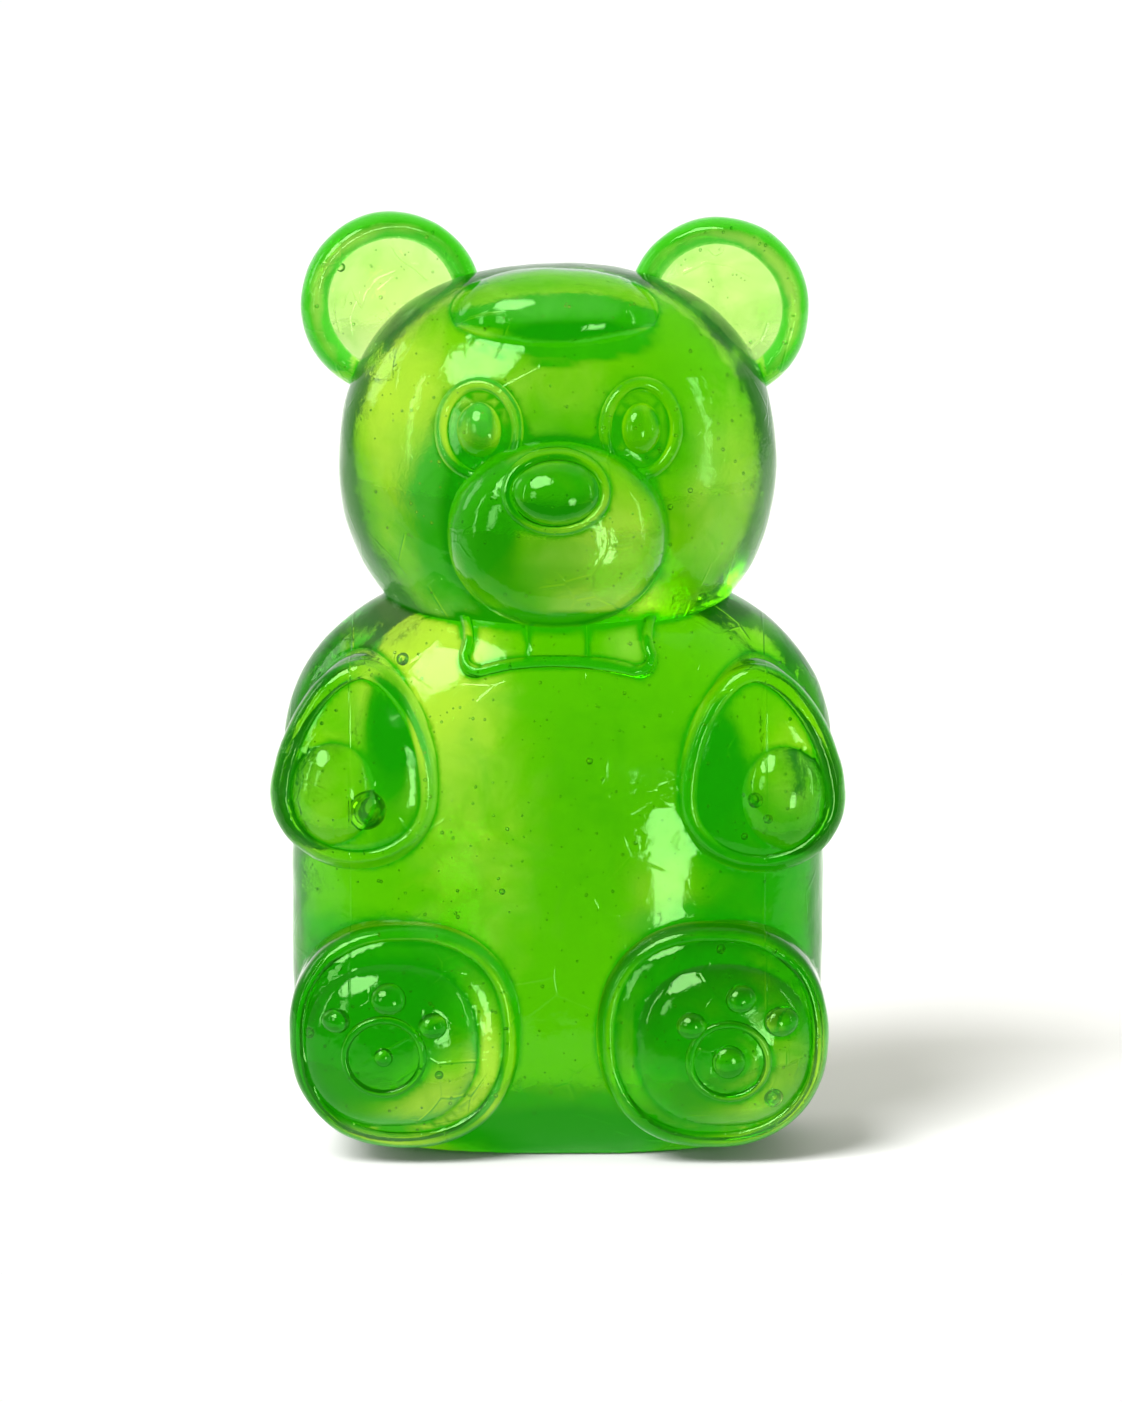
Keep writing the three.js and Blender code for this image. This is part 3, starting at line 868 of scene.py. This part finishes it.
# %% Colour by depth
depth = draw.node("ShaderNodeVolumeAbsorption", {}, {"Color": (0.9, 0.942, 0.2, 1), "Density": 130})
depth.into(jelly.node_tree.nodes["Material Output"], "Volume")
bear.data.materials.clear()
bear.data.materials.append(jelly)
print("finish of the bear:", bear.data.materials[0].name)

# %% [markdown]
# ## Air
# Air bends light less than jelly does, so seen from inside the jelly a bubble has an index below one:
# close to 1 / 1.39, the other way round from the skin's. It has no tint and no roughness.

# %% Air
AIR_IN_JELLY = 0.71
air, ball_skin, _ = new_material("air_in_jelly")
ball_skin.inputs["Base Color"].default_value = (1, 1, 1, 1)
ball_skin.inputs["Roughness"].default_value = 0
ball_skin.inputs["IOR"].default_value = AIR_IN_JELLY
ball_skin.inputs["Transmission Weight"].default_value = 1
for piece in (bubbles, specks):
    piece.data.materials.clear()
    piece.data.materials.append(air)
print("air index:", AIR_IN_JELLY)

# %% [markdown]
# ## Studio
# Clear things are lit from behind. A long sheet of white paper runs under the bear and away to a white
# wall, and the rest of the room is dim, so the edges of each lump bend towards the dim sides and draw
# themselves. Narrow lamps give the crisp highlights and a wide sun gives the soft shadow.

# %% Paper
bpy.ops.object.select_all(action="DESELECT")
PAPER_WIDE, PAPER_LONG, PAPER_FRONT, PAPER_GAP = 5, 20, -0.16, 0.2 * MM
bpy.ops.mesh.primitive_plane_add(size=1, location=(0, PAPER_FRONT + PAPER_LONG / 2, -PAPER_GAP))
floor = bpy.context.object
floor.name = "paper"
floor.scale = (PAPER_WIDE, PAPER_LONG, 1)
bpy.ops.object.transform_apply()
paper, paper_skin, _ = new_material("white_paper")
paper_skin.inputs["Base Color"].default_value = (0.88, 0.88, 0.875, 1)
paper_skin.inputs["Roughness"].default_value = 0.9
floor.data.materials.append(paper)
print("paper, m:", PAPER_WIDE, "by", PAPER_LONG)

# %% Room
room = bpy.data.worlds.new("studio")
bpy.context.scene.world = room
room.use_nodes = True
room_wires = Wire(room.node_tree)
DIM_FRONT, DIM_SIDES, WALL = (0.16, 0.18, 0.13, 1), (0.51, 0.5, 0.42, 1), (1.02, 1.02, 1.02, 1)
way = room_wires.node("ShaderNodeTexCoord", output="Generated")
towards_wall = room_wires.node("ShaderNodeSeparateXYZ", inputs={0: way}, output="Y")
sides = towards_wall.ramp(-0.8, 0.1).blend(DIM_FRONT, DIM_SIDES)
towards_wall.ramp(0.45, 0.85).blend(sides, WALL).into(room.node_tree.nodes["Background"], "Color")
print("room light nodes:", len(room.node_tree.nodes))

# %% Sun
def lamp_data(name, kind, energy, **settings):
    """Adds a lamp of a kind, with its energy and settings."""
    data = bpy.data.lights.new(name, kind)
    data.energy = energy
    for key, value in settings.items():
        setattr(data, key, value)
    lamp = bpy.data.objects.new(name, data)
    bpy.context.collection.objects.link(lamp)
    return lamp


def aim_from(obj, way):
    """Turns a lamp or camera so that it looks against the given way, at the middle of the scene."""
    obj.rotation_euler = Vector(way).to_track_quat("Z", "Y").to_euler()


SUN_STRENGTH, SUN_SPREAD, SUN_FROM = 4.3, math.radians(30), (-0.5, -0.72, 0.78)
key = lamp_data("key", "SUN", SUN_STRENGTH, angle=SUN_SPREAD)
aim_from(key, SUN_FROM)
print("sun from", SUN_FROM)


# %% Lamps
MIDDLE = Vector((0, 0, 0.12))


def strip(name, place, width, height, radiance):
    """A flat lamp that faces the bear, as bright at every size as its radiance says."""
    lamp = lamp_data(name, "AREA", radiance * math.pi * width * height, shape="RECTANGLE",
                     size=width, size_y=height)
    lamp.location = place
    aim_from(lamp, Vector(place) - MIDDLE)
    return lamp


strip("overhead", (0, 0.2, 1.7), 1.8, 1.8, 0.4)
for lamp in (strip("left_strip", (-1.3, -0.7, 0.5), 0.08, 0.9, 12),
             strip("right_strip", (1.3, -0.6, 0.45), 0.07, 0.9, 10)):
    # Seen through the jelly the strips would burn bright spots into the cheeks.
    lamp.visible_transmission = False
strip("left_window", (-1.25, 0.3, 0.75), 0.35, 0.6, 3.5)
strip("chest_window", (-0.75, -1.05, 0.35), 0.2, 0.35, 9)
strip("belly_window", (0.48, -1.22, -0.06), 0.26, 0.34, 19)

# %% [markdown]
# ## Camera
# The camera looks a little down at the front. A long lens keeps the head and feet in true proportion.

# %% The lens and its place
FRAME_HEIGHT = 358.4 * MM
CAMERA_DISTANCE = 1.6
CAMERA_RISE = math.radians(7)
SENSOR = 24
LOOK_AT = Vector((0.8, 0, 114))
lens = bpy.data.cameras.new("camera")
lens.sensor_fit = "VERTICAL"
lens.sensor_height = SENSOR
lens.lens = SENSOR * CAMERA_DISTANCE / FRAME_HEIGHT
lens.clip_end = 200
camera = bpy.data.objects.new("camera", lens)
bpy.context.collection.objects.link(camera)
back = Vector((0, -math.cos(CAMERA_RISE), math.sin(CAMERA_RISE)))
camera.location = LOOK_AT * MM + back * CAMERA_DISTANCE
aim_from(camera, back)
bpy.context.scene.camera = camera
print("lens, mm:", round(lens.lens, 1))

# %% Light paths
# Clear jelly needs many bounces. Light thrown through it on to the paper is left out, which keeps the
# shadow plain and free of grain.
bpy.context.scene.view_settings.view_transform = "Standard"
bpy.context.scene.cycles.transmission_bounces = 12
bpy.context.scene.cycles.max_bounces = 14
bpy.context.scene.cycles.caustics_refractive = False
